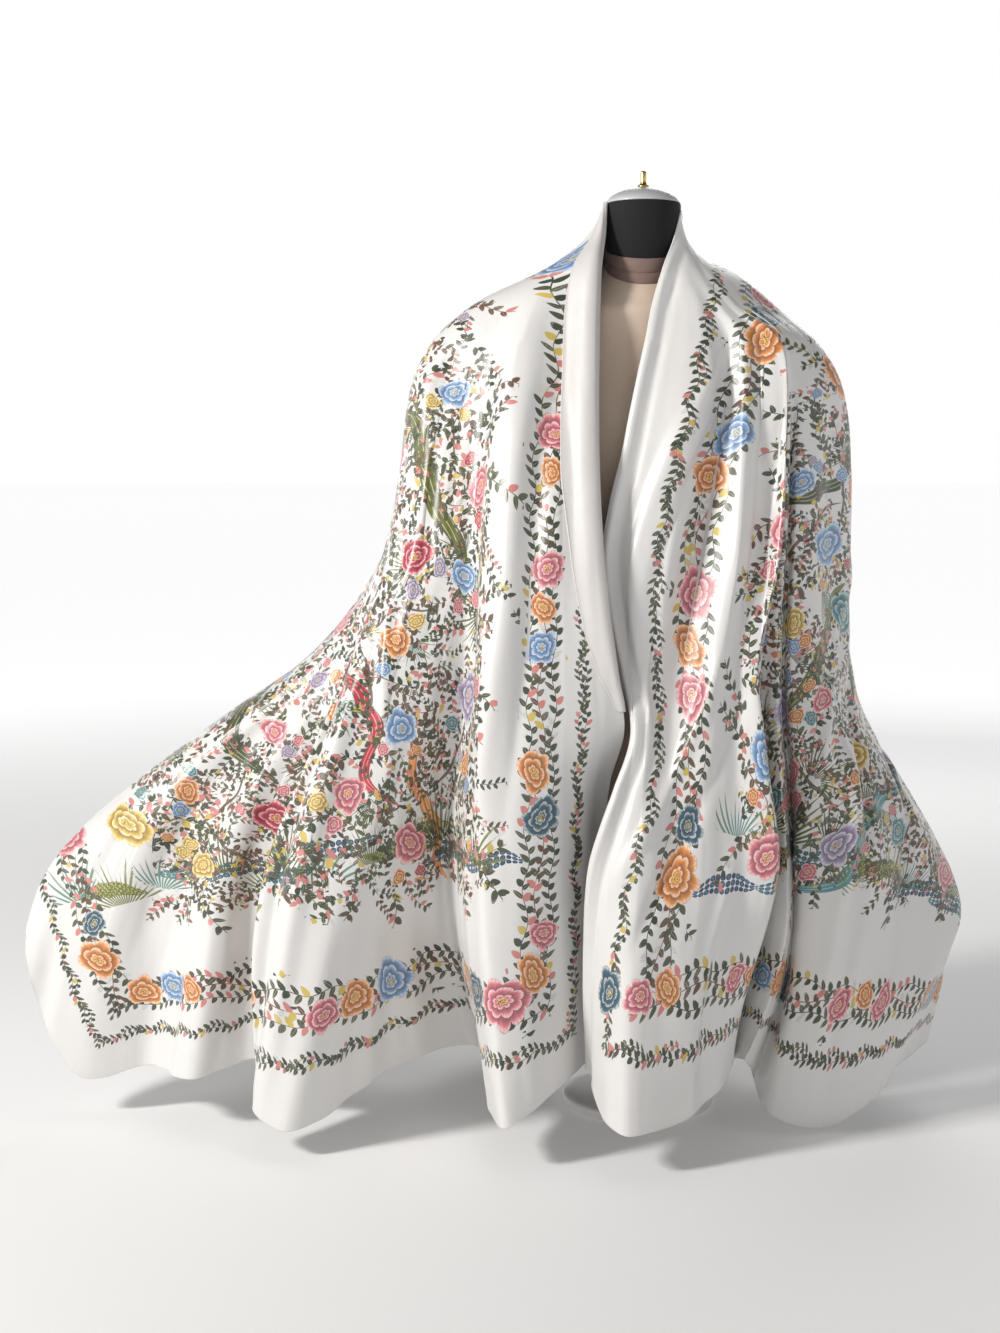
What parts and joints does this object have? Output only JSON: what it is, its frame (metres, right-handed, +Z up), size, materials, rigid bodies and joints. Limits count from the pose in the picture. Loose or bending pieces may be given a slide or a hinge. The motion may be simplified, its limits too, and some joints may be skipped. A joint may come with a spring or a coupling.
{
  "type": "satin scarf draped on a dress form",
  "caption": "Wide satin shawl hung round the neck and shoulders of a limbless counter-top dress form, open in front, with one corner swung out to the side.",
  "frame": {"origin": "centre of the round base's underside, on the axis of the dress form", "axes": "+Z up along the form's axis, the open front of the scarf faces -Y, +X is the picture's right"},
  "size_m": [0.9824, 0.4375, 0.9645],
  "materials": {
    "printed_satin": "satin, ivory with a floral print",
    "satin_reverse": "reverse of the satin, print showing faintly",
    "beige_jersey": "matte jersey cover",
    "taupe_band": "matte",
    "black_velvet": "matte",
    "grey_cap": "satin",
    "brass": "polished",
    "painted_stand": "white enamel"
  },
  "bodies": {
    "root": {"scarf_left_front": "printed_satin", "scarf_left_side": "printed_satin", "scarf_left_wing": "printed_satin", "scarf_back_left": "printed_satin", "scarf_back_right": "printed_satin", "scarf_right_wing": "printed_satin", "scarf_right_pleats": "printed_satin", "scarf_right_front": "printed_satin", "scarf_left_lapel": "satin_reverse", "form_torso": "beige_jersey", "form_neck_band": "taupe_band", "form_neck": "black_velvet", "form_cap": "grey_cap", "form_finial": "brass", "form_post": "painted_stand", "form_base": "painted_stand"}
  },
  "joints": []
}
